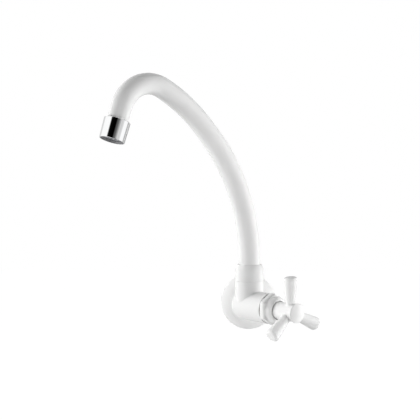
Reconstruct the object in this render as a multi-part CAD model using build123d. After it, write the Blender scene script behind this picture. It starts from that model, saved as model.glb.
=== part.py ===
from build123d import *
import os
from math import asin, cos, radians, sin

# Wall-mounted kitchen tap with a turning swan-neck spout.
# Millimetres, +Z up. The origin is the centre of the wall flange's back face, the wall is
# the plane Y = 0, and the room lies towards -Y.
# Three axes meet in the valve centre: the inlet along Y, the neck along Z and the valve
# barrel, which points forward and to the right. Heights are measured from the valve centre
# along the neck, and valve sizes from it along the barrel.

# Layout
STANDOFF = 26.0            # wall to valve centre
BARREL_ANGLE = 40.0        # barrel axis, to the right of straight out
SPOUT_ANGLE = 50.0         # spout at rest, to the left of straight out
HANDLE_ANGLE = 5.5         # handle at rest, turned to the left from one arm straight up

# Clearances
FIXED_FIT = 0.02           # radial, between pieces that stay together
RUNNING_FIT = 0.05         # radial, between pieces that turn or slide
LOOSE_FIT = 0.15           # radial, where a piece only passes through
SHOULDER_FIT = 0.1         # radial, round the spout's shoulder
FACE_GAP = 0.05            # between faces that slide on each other
THREAD_FIT = 0.05          # radial, between screwed pieces
END_GAP = 0.2              # at the free end of a piece that seats elsewhere
HOLE_SPARE = 0.3           # below the end of a stem or screw
CUT_SPARE = 1.0            # how far a groove's cutter reaches outside

# Wall side
FLANGE_RADIUS = 28.2
FLANGE_DEPTH = 8.2         # wall to the front of the dome
FLANGE_WALL = 1.8
FLANGE_RIM = 2.0           # straight part of the rim
BOSS_RADIUS = 13.0         # round root of the shank, inside the flange
BOSS_BACK = 3.0            # in front of the wall
BOSS_FRONT = 8.0           # behind the valve centre, inside the barrel
SHANK_RADIUS = 10.4775     # half of the 1/2 inch pipe thread's outer diameter
SHANK_LENGTH = 18.0        # behind the wall plane
SHANK_CHAMFER = 1.2
INLET_RADIUS = 6.5
INLET_END = 8.0            # in front of the wall
PORT_RADIUS = 4.0          # slanted way from the inlet to the pocket behind the seat

# Barrel
BARREL_RADIUS = 14.9
BARREL_CORNER = 7.0        # rounding of the closed end
BARREL_BACK = 14.5         # valve centre to the closed end
BARREL_FRONT = 29.7        # valve centre to the mouth
CHAMBER_RADIUS = 10.6
SEAT_FACE = 3.0            # chamber floor, behind the valve centre
MOUTH_RADIUS = 11.5
MOUTH_DEPTH = 16.7
POCKET_RADIUS = 5.0
POCKET_DEPTH = 3.5         # behind the seat ring

# Seat ring, jumper and washer
SEAT_RADIUS = 7.0
SEAT_HEIGHT = 3.0
SEAT_BORE = 4.3
SEAT_LIP_WIDTH = 1.3
SEAT_LIP_HEIGHT = 0.6
WASHER_RADIUS = 6.3
WASHER_HEIGHT = 2.55
WASHER_SCREW_RADIUS = 1.4
WASHER_SCREW_HEAD = 2.6    # radius
WASHER_SCREW_HEAD_HEIGHT = 2.0
WASHER_SCREW_LENGTH = 3.9
WASHER_SCREW_SPARE = 0.1
JUMPER_RIM = 0.6
JUMPER_PLATE = 2.0
JUMPER_SKIRT = 1.3         # depth of the rim round the washer
JUMPER_STEM_RADIUS = 1.75
JUMPER_STEM_LENGTH = 8.2

# Spindle
SPINDLE_THREAD_RADIUS = 5.0
SPINDLE_THREAD_LENGTH = 22.2
SPINDLE_RADIUS = 4.0
SPINDLE_END_RADIUS = 3.4
SPINDLE_END_LENGTH = 14.4
SPINDLE_LIFT = 3.0         # travel from shut to fully open
THREAD_SPARE = 1.0         # free room in front of the thread when open
SPINDLE_RING_BITE = 1.25   # depth of the seal grooves
SPINDLE_RING_WIDTH = 1.6
SPINDLE_RING_THICKNESS = 1.2
SPINDLE_RING_AT = (31.5, 35.0)
CLIP_WIDTH = 0.8
CLIP_BITE = 0.8
CLIP_RADIUS = 5.6
CLIP_GAP = 0.5             # in front of the recess floor

# Bonnet
NUT_RADIUS = 8.0           # brass threaded insert
NUT_LENGTH = 8.5
BONNET_SKIRT = 13.7        # length inside the mouth
GASKET_THICKNESS = 0.8
GASKET_WIDTH = 2.0
GASKET_SINK = 0.7          # depth of its rebate in the barrel's mouth
HEX_FLATS = 27.7
HEX_HEIGHT = 7.5
HEX_CORNER_WIDTH = 2.2     # bevel that rounds the corners at the back
HEX_CORNER_HEIGHT = 1.3
BONNET_DISC_RADIUS = 13.6
BONNET_DISC_HEIGHT = 1.0
BONNET_DISC_CHAMFER = 0.3
BONNET_DOME_HEIGHT = 4.6
BONNET_DOME_RADIUS = 10.7  # front edge of the dome
BONNET_DOME_BULGE = 0.5
BONNET_RECESS_DEPTH = 3.2
BONNET_RECESS_FLOOR = 8.9  # radius
BONNET_RECESS_MOUTH = 9.3  # radius

# Handle
HUB_RADIUS = 8.5
HUB_SINK = 2.3             # how far the hub reaches into the bonnet's recess
HUB_LENGTH = 25.2
HUB_EDGE = 0.4
ARM_COUNT = 3
ARM_AT = 17.7              # hub's rear face to the arms
ARM_LEAN = 5.0             # degrees towards the front
ARM_REACH = 35.0
ARM_ROOT_RADIUS = 4.2
ARM_TIP_RADIUS = 6.9
ARM_TIP_ROUND = 2.6
CLIP_CAVITY_RADIUS = 6.4
CLIP_CAVITY_DEPTH = 3.0
INSERT_RADIUS = 5.2
INSERT_WEB = 1.4
BUTTON_POCKET_RADIUS = 6.3
SCREW_RADIUS = 1.9
SCREW_LENGTH = 11.5
SCREW_HEAD_RADIUS = 3.9
SCREW_HEAD_HEIGHT = 2.5
SCREW_SLOT_WIDTH = 0.8
SCREW_SLOT_DEPTH = 1.1
BUTTON_RADIUS = 9.4
BUTTON_RIM = 1.5
BUTTON_EDGE = 0.3
BUTTON_DOME = 2.4
BUTTON_PLUG_LENGTH = 4.0
BUTTON_PLUG_WALL = 1.2

# Spout tube: straight runs and arcs, with the outer radius at the end of each
SPOUT_WALL = 2.0
FOOT_RADIUS = 10.9
FOOT_RUN = 7.0
FIRST_TAPER = 5.0
RISE_RADIUS = 10.6
RISE_BEND_RADIUS = 180.0
RISE_ANGLE = 42.3
SECOND_TAPER = 10.7
REACH_RADIUS = 10.1
REACH_BEND_RADIUS = 176.6
REACH_ANGLE = 20.0
THIRD_TAPER = 6.0
CREST_RADIUS = 9.8
CREST_BEND_RADIUS = 33.4
CREST_ANGLE = 98.9
DROP_RUN = 14.2
DROP_RADIUS = 9.5

# Neck and spout joint: radii built up round the spout's foot, heights from the valve centre
BUSH_WALL = 1.03
COUNTERBORE_RADIUS = FOOT_RADIUS + RUNNING_FIT + BUSH_WALL + FIXED_FIT
NECK_THREAD_WALL = 1.4
NECK_THREAD_RADIUS = COUNTERBORE_RADIUS + NECK_THREAD_WALL
NECK_STEP = 0.9
NECK_RADIUS = NECK_THREAD_RADIUS + NECK_STEP
RING_STEP = 0.2
RING_RADIUS = NECK_RADIUS + RING_STEP
RING_TOP_WALL = 1.0
RING_TOP_RADIUS = FOOT_RADIUS + RING_TOP_WALL
NECK_SHOULDER = 25.0
NECK_TOP = 33.0
NECK_FLOOR = 15.0
NECK_PORT_RADIUS = 5.0
NECK_PORT_OFFSET = 4.0     # along the barrel, in front of the seat
TAIL_STEP = 1.25           # tail inside the tube's outer face
TAIL_RADIUS = FOOT_RADIUS - TAIL_STEP
TAIL_WALL = 3.15
TAIL_BORE = TAIL_RADIUS - TAIL_WALL
TAIL_LENGTH = 12.5
TAIL_CHAMFER = 0.5
TAIL_SHOULDER_RADIUS = COUNTERBORE_RADIUS - SHOULDER_FIT
TAIL_SHOULDER = 2.0
TAIL_SPIGOT = 6.5
TAIL_RING_BITE = 1.6
TAIL_RING_WIDTH = 2.2
TAIL_RING_THICKNESS = 1.55
TAIL_RING_AT = (3.5, 8.0)  # from the tail's lower end
THRUST_WASHER = 1.0
COUNTERBORE_FLOOR = 27.0
BUSH_HEIGHT = 5.9
RING_TOP = 41.5
RING_SHOULDER = 35.0       # where the cone begins

# Outlet: radii built up round the tube's end, lengths from it
NIPPLE_SPIGOT = 10.0
NIPPLE_STEP = 0.8
NIPPLE_RADIUS = DROP_RADIUS + NIPPLE_STEP
NIPPLE_LENGTH = 7.0
NIPPLE_WALL = 1.7          # spigot inside the tube
NIPPLE_BORE = DROP_RADIUS - SPOUT_WALL - NIPPLE_WALL
HOUSING_LENGTH = 18.7
HOUSING_OVERLAP = 1.7      # how far the housing comes up round the tube
HOUSING_BORE = NIPPLE_RADIUS + THREAD_FIT
HOUSING_WALL = 1.75
HOUSING_TOP_RADIUS = HOUSING_BORE + HOUSING_WALL
HOUSING_TAPER = 0.5
HOUSING_END_RADIUS = HOUSING_TOP_RADIUS - HOUSING_TAPER
HOUSING_EDGE = 0.4
HOUSING_LIP = 0.8
HOUSING_LIP_WIDTH = 0.85
HOUSING_MOUTH = HOUSING_BORE - HOUSING_LIP_WIDTH
HOUSING_RIM = 1.4          # height of the rim in front of the lip
HOUSING_RIM_WALL = 0.9
HOUSING_RIM_RADIUS = HOUSING_END_RADIUS - HOUSING_RIM_WALL
OUTLET_WASHER = 1.5
OUTLET_WASHER_STEP = 0.4
OUTLET_WASHER_BORE = NIPPLE_BORE + OUTLET_WASHER_STEP
SCREEN_THICKNESS = 0.25
SCREEN_GAP = 0.15
SCREEN_HOLE = 0.55         # radius
SCREEN_HOLE_PITCH = 1.9
SCREEN_BORDER = 1.5
CORE_HEIGHT = 5.0
CORE_HOLE = 1.45           # radius
CORE_HOLE_PITCH = 3.7
CORE_BORDER = 0.6

# Places that follow from the sizes
VALVE = Plane(
    origin=(0, -STANDOFF, 0),
    x_dir=(cos(radians(BARREL_ANGLE)), sin(radians(BARREL_ANGLE)), 0),
    z_dir=(sin(radians(BARREL_ANGLE)), -cos(radians(BARREL_ANGLE)), 0),
).location
NECK = Location((0, -STANDOFF, 0))
SPOUT = NECK * Rot(0, 0, -90 - SPOUT_ANGLE)
WALL = Plane(origin=(0, 0, 0), x_dir=(1, 0, 0), z_dir=(0, -1, 0)).location
GASKET_BACK = BARREL_FRONT - GASKET_SINK
HEX_BACK = GASKET_BACK + GASKET_THICKNESS
DISC_BACK = HEX_BACK + HEX_HEIGHT
DOME_BACK = DISC_BACK + BONNET_DISC_HEIGHT
BONNET_FRONT = DOME_BACK + BONNET_DOME_HEIGHT
RECESS_FLOOR = BONNET_FRONT - BONNET_RECESS_DEPTH
BONNET_BACK = BARREL_FRONT - BONNET_SKIRT
WASHER_BACK = -SEAT_FACE + SEAT_LIP_HEIGHT + FACE_GAP
JUMPER_BACK = WASHER_BACK + WASHER_HEIGHT
SPINDLE_BACK = JUMPER_BACK + JUMPER_PLATE + FACE_GAP
THREAD_FRONT = SPINDLE_BACK + SPINDLE_THREAD_LENGTH
CLIP_AT = RECESS_FLOOR + CLIP_GAP
HUB_BACK = BONNET_FRONT - HUB_SINK
HUB_FRONT = HUB_BACK + HUB_LENGTH
INSERT_BACK = HUB_BACK + CLIP_CAVITY_DEPTH
SPINDLE_FRONT = INSERT_BACK + SPINDLE_END_LENGTH
WEB_BACK = SPINDLE_FRONT + END_GAP
WEB_FRONT = WEB_BACK + INSERT_WEB
SHOULDER_BACK = COUNTERBORE_FLOOR + THRUST_WASHER + FACE_GAP
FOOT = SHOULDER_BACK + TAIL_SHOULDER
BUSH_TOP = FOOT + FACE_GAP + BUSH_HEIGHT
TAIL_END = SHOULDER_BACK - TAIL_LENGTH
CORE_BACK = NIPPLE_LENGTH + OUTLET_WASHER + 2 * (SCREEN_THICKNESS + SCREEN_GAP) + SCREEN_GAP


def turned(*steps):
    """Solid turned about Z. A step is a point (r, z), or a pair: the point an arc passes and its end."""
    def at(p):
        return (p[0], 0, p[1])

    edges = []
    here = steps[0]
    for step in steps[1:] + steps[:1]:
        if isinstance(step[0], tuple):
            edges.append(ThreePointArc(at(here), at(step[0]), at(step[1])))
            here = step[1]
        elif step != here:
            edges.append(Line(at(here), at(step)))
            here = step
    return revolve(Face(Wire(edges)), Axis.Z, 360)


def tube(inner, outer, low, high):
    """Plain ring about Z between two heights."""
    return turned((inner, low), (outer, low), (outer, high), (inner, high))


def rod(radius, low, high):
    """Plain cylinder about Z between two heights."""
    return turned((0, low), (radius, low), (radius, high), (0, high))


def o_ring(centre_radius, thickness, height):
    """Rubber ring of round section about Z."""
    return Pos(0, 0, height) * Torus(centre_radius, thickness / 2)


def round_corner(centre, radius):
    """Middle point of a quarter arc on the outer, upper side of its centre."""
    return (centre[0] + radius * cos(radians(45)), centre[1] + radius * sin(radians(45)))


def crown_middle(edge, crown):
    """Middle of the arc from an edge to a crown, where it ends flat."""
    run = edge[0] - crown[0]
    drop = crown[1] - edge[1]
    radius = (run * run + drop * drop) / (2 * drop)
    half = asin(run / radius) / 2
    return (crown[0] + radius * sin(half), crown[1] - radius * (1 - cos(half)))


def wall_flange():
    """Thin dome that stands on the wall and closes on the shank's root."""
    hole = BOSS_RADIUS + FIXED_FIT
    rim = (FLANGE_RADIUS, FLANGE_RIM)
    crown = (hole, FLANGE_DEPTH)
    inner_rim = (FLANGE_RADIUS - FLANGE_WALL, FLANGE_RIM)
    inner_crown = (hole, FLANGE_DEPTH - FLANGE_WALL)
    return WALL * turned(
        (inner_rim[0], 0), (FLANGE_RADIUS, 0), rim, (crown_middle(rim, crown), crown), inner_crown,
        (crown_middle(inner_rim, inner_crown), inner_rim),
    )


def barrel_outside():
    """Barrel with its closed, rounded end towards the wall."""
    flat = BARREL_RADIUS - BARREL_CORNER
    corner = -BARREL_BACK + BARREL_CORNER
    mid = BARREL_CORNER * sin(radians(45))
    return turned(
        (0, -BARREL_BACK), (flat, -BARREL_BACK),
        ((flat + mid, corner - mid), (BARREL_RADIUS, corner)),
        (BARREL_RADIUS, BARREL_FRONT), (0, BARREL_FRONT),
    )


def tap_body():
    """One moulding: shank, barrel and neck outside, and the waterway from the shank to the neck inside."""
    neck = turned(
        (0, 0), (NECK_RADIUS, 0), (NECK_RADIUS, NECK_SHOULDER), (NECK_THREAD_RADIUS, NECK_SHOULDER),
        (NECK_THREAD_RADIUS, NECK_TOP), (0, NECK_TOP),
    )
    shank = turned(
        (0, -SHANK_LENGTH), (SHANK_RADIUS - SHANK_CHAMFER, -SHANK_LENGTH),
        (SHANK_RADIUS, -SHANK_LENGTH + SHANK_CHAMFER), (SHANK_RADIUS, BOSS_BACK),
        (BOSS_RADIUS, BOSS_BACK), (BOSS_RADIUS, STANDOFF - BOSS_FRONT), (0, STANDOFF - BOSS_FRONT),
    )
    body = VALVE * barrel_outside() + NECK * neck + WALL * shank
    seat_bottom = -SEAT_FACE - SEAT_HEIGHT
    valve_way = turned(
        (0, seat_bottom - POCKET_DEPTH), (POCKET_RADIUS, seat_bottom - POCKET_DEPTH),
        (POCKET_RADIUS, seat_bottom), (SEAT_RADIUS + FIXED_FIT, seat_bottom),
        (SEAT_RADIUS + FIXED_FIT, -SEAT_FACE), (CHAMBER_RADIUS, -SEAT_FACE),
        (CHAMBER_RADIUS, BARREL_FRONT - MOUTH_DEPTH), (MOUTH_RADIUS, BARREL_FRONT - MOUTH_DEPTH),
        (MOUTH_RADIUS, GASKET_BACK), (MOUTH_RADIUS + GASKET_WIDTH + LOOSE_FIT, GASKET_BACK),
        (MOUTH_RADIUS + GASKET_WIDTH + LOOSE_FIT, BARREL_FRONT), (0, BARREL_FRONT),
    )
    neck_way = turned(
        (0, NECK_FLOOR), (TAIL_RADIUS + RUNNING_FIT, NECK_FLOOR),
        (TAIL_RADIUS + RUNNING_FIT, COUNTERBORE_FLOOR), (COUNTERBORE_RADIUS, COUNTERBORE_FLOOR),
        (COUNTERBORE_RADIUS, NECK_TOP), (0, NECK_TOP),
    )
    neck_port = VALVE * Pos(0, 0, NECK_PORT_OFFSET) * Rot(-90, 0, 0) * rod(NECK_PORT_RADIUS, 0, NECK_FLOOR)
    inlet = WALL * rod(INLET_RADIUS, -SHANK_LENGTH, INLET_END)
    start = Vector(0, -INLET_END + PORT_RADIUS, 0)
    end = (VALVE * Pos(0, 0, seat_bottom - POCKET_DEPTH / 2)).position
    slant = Plane(origin=start, z_dir=end - start).location * rod(PORT_RADIUS, 0, (end - start).length)
    return body - VALVE * valve_way - NECK * neck_way - neck_port - inlet - slant


def valve_seat():
    """Seat ring with a raised lip, pressed in the chamber's floor."""
    lip = SEAT_BORE + SEAT_LIP_WIDTH
    return VALVE * turned(
        (SEAT_BORE, -SEAT_FACE - SEAT_HEIGHT), (SEAT_RADIUS, -SEAT_FACE - SEAT_HEIGHT),
        (SEAT_RADIUS, -SEAT_FACE), (lip, -SEAT_FACE), (lip, -SEAT_FACE + SEAT_LIP_HEIGHT),
        (SEAT_BORE, -SEAT_FACE + SEAT_LIP_HEIGHT),
    )


def seat_washer():
    """Rubber disc that closes on the seat's lip."""
    return VALVE * tube(WASHER_SCREW_RADIUS + FIXED_FIT, WASHER_RADIUS, WASHER_BACK, JUMPER_BACK)


def washer_screw():
    """Small round-headed screw that holds the washer in the jumper."""
    head = rod(WASHER_SCREW_HEAD, WASHER_BACK - WASHER_SCREW_HEAD_HEIGHT, WASHER_BACK)
    slot = Pos(0, 0, WASHER_BACK - WASHER_SCREW_HEAD_HEIGHT) * Box(
        2 * WASHER_SCREW_HEAD, SCREW_SLOT_WIDTH, WASHER_SCREW_HEAD_HEIGHT
    )
    return VALVE * (head - slot + rod(WASHER_SCREW_RADIUS, WASHER_BACK, WASHER_BACK + WASHER_SCREW_LENGTH))


def jumper():
    """Valve disc with a cup for the washer and a stem that slides in the spindle."""
    bore = WASHER_SCREW_RADIUS + FIXED_FIT
    cup = WASHER_RADIUS + FIXED_FIT
    plate = JUMPER_BACK + JUMPER_PLATE
    screw_end = WASHER_BACK + WASHER_SCREW_LENGTH + WASHER_SCREW_SPARE
    return VALVE * turned(
        (bore, JUMPER_BACK), (cup, JUMPER_BACK), (cup, JUMPER_BACK - JUMPER_SKIRT),
        (cup + JUMPER_RIM, JUMPER_BACK - JUMPER_SKIRT), (cup + JUMPER_RIM, plate),
        (JUMPER_STEM_RADIUS, plate), (JUMPER_STEM_RADIUS, plate + JUMPER_STEM_LENGTH),
        (0, plate + JUMPER_STEM_LENGTH), (0, screw_end), (bore, screw_end),
    )


def spindle():
    """Threaded stem with the jumper's socket at the back and the handle's end at the front."""
    groove = SPINDLE_RADIUS - SPINDLE_RING_BITE
    outside = SPINDLE_RADIUS + CUT_SPARE
    socket = JUMPER_STEM_RADIUS + RUNNING_FIT
    stem = turned(
        (0, SPINDLE_BACK), (SPINDLE_THREAD_RADIUS, SPINDLE_BACK), (SPINDLE_THREAD_RADIUS, THREAD_FRONT),
        (SPINDLE_RADIUS, THREAD_FRONT), (SPINDLE_RADIUS, INSERT_BACK), (SPINDLE_END_RADIUS, INSERT_BACK),
        (SPINDLE_END_RADIUS, SPINDLE_FRONT), (0, SPINDLE_FRONT),
    )
    for height in SPINDLE_RING_AT:
        stem -= tube(groove, outside, height - SPINDLE_RING_WIDTH / 2, height + SPINDLE_RING_WIDTH / 2)
    stem -= tube(SPINDLE_RADIUS - CLIP_BITE, outside, CLIP_AT, CLIP_AT + CLIP_WIDTH)
    stem -= rod(socket, SPINDLE_BACK, SPINDLE_BACK + JUMPER_STEM_LENGTH + HOLE_SPARE)
    stem -= rod(SCREW_RADIUS + FIXED_FIT, WEB_FRONT - SCREW_LENGTH, SPINDLE_FRONT)
    return VALVE * stem


def spindle_seals():
    """Two rings in the spindle's grooves."""
    centre = SPINDLE_RADIUS - SPINDLE_RING_BITE + SPINDLE_RING_THICKNESS / 2 + FIXED_FIT
    return Compound(children=[
        VALVE * o_ring(centre, SPINDLE_RING_THICKNESS, height) for height in SPINDLE_RING_AT
    ])


def spindle_clip():
    """Split ring in front of the recess floor that keeps the spindle in the bonnet."""
    inner = SPINDLE_RADIUS - CLIP_BITE + FIXED_FIT
    gap = Pos(0, -CLIP_RADIUS, CLIP_AT + CLIP_WIDTH / 2) * Box(inner, 2 * CLIP_RADIUS, CLIP_WIDTH)
    return VALVE * (tube(inner, CLIP_RADIUS, CLIP_AT, CLIP_AT + CLIP_WIDTH) - gap)


def spindle_nut():
    """Brass insert in the bonnet, in which the spindle screws."""
    return VALVE * tube(SPINDLE_THREAD_RADIUS + THREAD_FIT, NUT_RADIUS, BONNET_BACK, BONNET_BACK + NUT_LENGTH)


def bonnet_gasket():
    """Flat ring in the mouth's rebate, under the hexagon."""
    return VALVE * tube(MOUTH_RADIUS, MOUTH_RADIUS + GASKET_WIDTH, GASKET_BACK, HEX_BACK)


def bonnet():
    """Hexagon, disc and dome with a screwed skirt, bored for the spindle."""
    nut_front = BONNET_BACK + NUT_LENGTH
    free_front = THREAD_FRONT + SPINDLE_LIFT + THREAD_SPARE
    rim = BONNET_DISC_RADIUS - BONNET_DISC_CHAMFER
    mouth = BONNET_RECESS_MOUTH
    flat = HEX_FLATS / 2
    hexagon = Pos(0, 0, HEX_BACK) * extrude(
        RegularPolygon(flat, 6, major_radius=False, rotation=30), HEX_HEIGHT
    )
    corners = turned(
        (0, HEX_BACK), (flat, HEX_BACK), (flat + HEX_CORNER_WIDTH, HEX_BACK + HEX_CORNER_HEIGHT),
        (flat + HEX_CORNER_WIDTH, DISC_BACK), (0, DISC_BACK),
    )
    dome_middle = (
        0.4 * rim + 0.6 * BONNET_DOME_RADIUS + BONNET_DOME_BULGE, DOME_BACK + 0.56 * BONNET_DOME_HEIGHT
    )
    front = turned(
        (0, DISC_BACK), (rim, DISC_BACK), (BONNET_DISC_RADIUS, DISC_BACK + BONNET_DISC_CHAMFER),
        (BONNET_DISC_RADIUS, DOME_BACK - BONNET_DISC_CHAMFER), (rim, DOME_BACK),
        (dome_middle, (BONNET_DOME_RADIUS, BONNET_FRONT)), (0, BONNET_FRONT),
    )
    skirt = rod(MOUTH_RADIUS - THREAD_FIT, BONNET_BACK, HEX_BACK)
    bore = turned(
        (0, BONNET_BACK), (NUT_RADIUS + FIXED_FIT, BONNET_BACK), (NUT_RADIUS + FIXED_FIT, nut_front),
        (SPINDLE_THREAD_RADIUS + LOOSE_FIT, nut_front), (SPINDLE_THREAD_RADIUS + LOOSE_FIT, free_front),
        (SPINDLE_RADIUS + RUNNING_FIT, free_front), (SPINDLE_RADIUS + RUNNING_FIT, RECESS_FLOOR),
        (BONNET_RECESS_FLOOR, RECESS_FLOOR), (mouth, BONNET_FRONT), (0, BONNET_FRONT),
    )
    return VALVE * ((hexagon & corners) + front + skirt - bore)


def handle():
    """Hub with conical arms in one moulding, one arm nearly straight up."""
    hub = turned(
        (0, HUB_BACK), (HUB_RADIUS - HUB_EDGE, HUB_BACK), (HUB_RADIUS, HUB_BACK + HUB_EDGE),
        (HUB_RADIUS, HUB_FRONT), (0, HUB_FRONT),
    )
    root = INSERT_RADIUS
    tip = (ARM_TIP_RADIUS - ARM_TIP_ROUND, ARM_REACH - ARM_TIP_ROUND)
    arm = turned(
        (0, root), (ARM_ROOT_RADIUS, root), (ARM_TIP_RADIUS, ARM_REACH - ARM_TIP_ROUND),
        (round_corner(tip, ARM_TIP_ROUND), (ARM_TIP_RADIUS - ARM_TIP_ROUND, ARM_REACH)), (0, ARM_REACH),
    )
    for i in range(ARM_COUNT):
        turn = HANDLE_ANGLE + 360 * i / ARM_COUNT
        hub += Pos(0, 0, HUB_BACK + ARM_AT) * Rot(0, 0, turn) * Rot(ARM_LEAN - 90, 0, 0) * arm
    bore = turned(
        (0, HUB_BACK), (CLIP_CAVITY_RADIUS, HUB_BACK), (CLIP_CAVITY_RADIUS, INSERT_BACK),
        (INSERT_RADIUS + FIXED_FIT, INSERT_BACK), (INSERT_RADIUS + FIXED_FIT, WEB_FRONT),
        (BUTTON_POCKET_RADIUS, WEB_FRONT), (BUTTON_POCKET_RADIUS, HUB_FRONT), (0, HUB_FRONT),
    )
    return VALVE * (hub - bore)


def handle_insert():
    """Brass socket moulded in the hub, with a web under the screw's head."""
    return VALVE * turned(
        (SPINDLE_END_RADIUS + FIXED_FIT, INSERT_BACK), (INSERT_RADIUS, INSERT_BACK), (INSERT_RADIUS, WEB_FRONT),
        (SCREW_RADIUS + LOOSE_FIT, WEB_FRONT), (SCREW_RADIUS + LOOSE_FIT, WEB_BACK),
        (SPINDLE_END_RADIUS + FIXED_FIT, WEB_BACK),
    )


def handle_screw():
    """Screw that pulls the handle on the spindle."""
    head = rod(SCREW_HEAD_RADIUS, WEB_FRONT, WEB_FRONT + SCREW_HEAD_HEIGHT)
    slot = Pos(0, 0, WEB_FRONT + SCREW_HEAD_HEIGHT) * Box(2 * SCREW_HEAD_RADIUS, SCREW_SLOT_WIDTH, 2 * SCREW_SLOT_DEPTH)
    return VALVE * (head - slot + rod(SCREW_RADIUS, WEB_FRONT - SCREW_LENGTH + HOLE_SPARE, WEB_FRONT))


def handle_button():
    """Domed cap with a hollow plug that snaps in the hub."""
    plug = BUTTON_POCKET_RADIUS - FIXED_FIT
    rim_front = HUB_FRONT + BUTTON_RIM
    cap = turned(
        (0, HUB_FRONT), (BUTTON_RADIUS - BUTTON_EDGE, HUB_FRONT), (BUTTON_RADIUS, HUB_FRONT + BUTTON_EDGE),
        (BUTTON_RADIUS, rim_front),
        (crown_middle((BUTTON_RADIUS, rim_front), (0, rim_front + BUTTON_DOME)), (0, rim_front + BUTTON_DOME)),
    )
    return VALVE * (cap + tube(plug - BUTTON_PLUG_WALL, plug, HUB_FRONT - BUTTON_PLUG_LENGTH, HUB_FRONT))


def neck_ring():
    """Conical ring screwed on the neck that holds the spout down."""
    thread = NECK_THREAD_RADIUS + THREAD_FIT
    bush = COUNTERBORE_RADIUS + FIXED_FIT
    seat = NECK_TOP + HOLE_SPARE
    foot = NECK_SHOULDER + END_GAP
    return NECK * turned(
        (thread, foot), (RING_RADIUS, foot), (RING_RADIUS, RING_SHOULDER),
        ((0.65 * RING_RADIUS + 0.35 * RING_TOP_RADIUS, (RING_SHOULDER + RING_TOP) / 2), (RING_TOP_RADIUS, RING_TOP)),
        (FOOT_RADIUS + LOOSE_FIT, RING_TOP), (FOOT_RADIUS + LOOSE_FIT, BUSH_TOP + FACE_GAP),
        (bush, BUSH_TOP + FACE_GAP), (bush, seat), (thread, seat),
    )


def spout_bush():
    """Plain bearing ring round the spout's foot."""
    return NECK * tube(FOOT_RADIUS + RUNNING_FIT, COUNTERBORE_RADIUS - FIXED_FIT, FOOT + FACE_GAP, BUSH_TOP)


def thrust_washer():
    """Slip washer that carries the spout's shoulder."""
    return NECK * tube(
        TAIL_RADIUS + LOOSE_FIT, COUNTERBORE_RADIUS - LOOSE_FIT, COUNTERBORE_FLOOR, COUNTERBORE_FLOOR + THRUST_WASHER
    )


def spout_tail():
    """Turned plug in the spout's foot, with a shoulder and two seal grooves."""
    tail = turned(
        (TAIL_BORE, TAIL_END), (TAIL_RADIUS - TAIL_CHAMFER, TAIL_END), (TAIL_RADIUS, TAIL_END + TAIL_CHAMFER),
        (TAIL_RADIUS, SHOULDER_BACK), (TAIL_SHOULDER_RADIUS, SHOULDER_BACK), (TAIL_SHOULDER_RADIUS, FOOT),
        (FOOT_RADIUS - SPOUT_WALL - FIXED_FIT, FOOT), (FOOT_RADIUS - SPOUT_WALL - FIXED_FIT, FOOT + TAIL_SPIGOT),
        (TAIL_BORE, FOOT + TAIL_SPIGOT),
    )
    for height in TAIL_RING_AT:
        low = TAIL_END + height - TAIL_RING_WIDTH / 2
        tail -= tube(TAIL_RADIUS - TAIL_RING_BITE, TAIL_RADIUS + CUT_SPARE, low, low + TAIL_RING_WIDTH)
    return SPOUT * tail


def spout_seals():
    """Two rings in the tail's grooves."""
    centre = TAIL_RADIUS - TAIL_RING_BITE + TAIL_RING_THICKNESS / 2 + FIXED_FIT
    return Compound(children=[
        SPOUT * o_ring(centre, TAIL_RING_THICKNESS, TAIL_END + height) for height in TAIL_RING_AT
    ])


def spout_path():
    """Runs of the tube as (length or bend radius, angle or None, radius at the end)."""
    return (
        (FOOT_RUN, None, FOOT_RADIUS),
        (FIRST_TAPER, None, RISE_RADIUS),
        (RISE_BEND_RADIUS, RISE_ANGLE, RISE_RADIUS),
        (SECOND_TAPER, None, REACH_RADIUS),
        (REACH_BEND_RADIUS, REACH_ANGLE, REACH_RADIUS),
        (THIRD_TAPER, None, CREST_RADIUS),
        (CREST_BEND_RADIUS, CREST_ANGLE, CREST_RADIUS),
        (DROP_RUN, None, DROP_RADIUS),
    )


def spout_run(place, size, angle, start, end):
    """One hollow run from a place, and the place at its end. The tube bends towards the place's +X."""
    if angle is None:
        solid = turned(
            (start - SPOUT_WALL, 0), (start, 0), (end, size), (end - SPOUT_WALL, size)
        )
        return place * solid, place * Pos(0, 0, size)
    ring = make_face(Circle(start).edge()) - make_face(Circle(start - SPOUT_WALL).edge())
    bend = revolve(ring, Axis((size, 0, 0), (0, 1, 0)), angle)
    turn = radians(angle)
    return place * bend, place * Pos(size * (1 - cos(turn)), 0, size * sin(turn)) * Rot(0, angle, 0)


def spout_runs():
    """All runs of the tube with the place at its end."""
    place = SPOUT * Pos(0, 0, FOOT)
    radius = FOOT_RADIUS
    solids = []
    for size, angle, end in spout_path():
        solid, place = spout_run(place, size, angle, radius, end)
        solids.append(solid)
        radius = end
    return solids, place


SPOUT_SOLIDS, SPOUT_END = spout_runs()
OUTLET = SPOUT_END


def spout_tube():
    """Swan-neck tube of tangent runs that narrows towards the outlet."""
    whole = SPOUT_SOLIDS[0]
    for solid in SPOUT_SOLIDS[1:]:
        whole += solid
    return whole


def outlet_nipple():
    """Threaded insert fixed in the outlet end of the tube."""
    spigot = DROP_RADIUS - SPOUT_WALL - FIXED_FIT
    return OUTLET * turned(
        (NIPPLE_BORE, -NIPPLE_SPIGOT), (spigot, -NIPPLE_SPIGOT), (spigot, 0), (NIPPLE_RADIUS, 0),
        (NIPPLE_RADIUS, NIPPLE_LENGTH), (NIPPLE_BORE, NIPPLE_LENGTH),
    )


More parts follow.
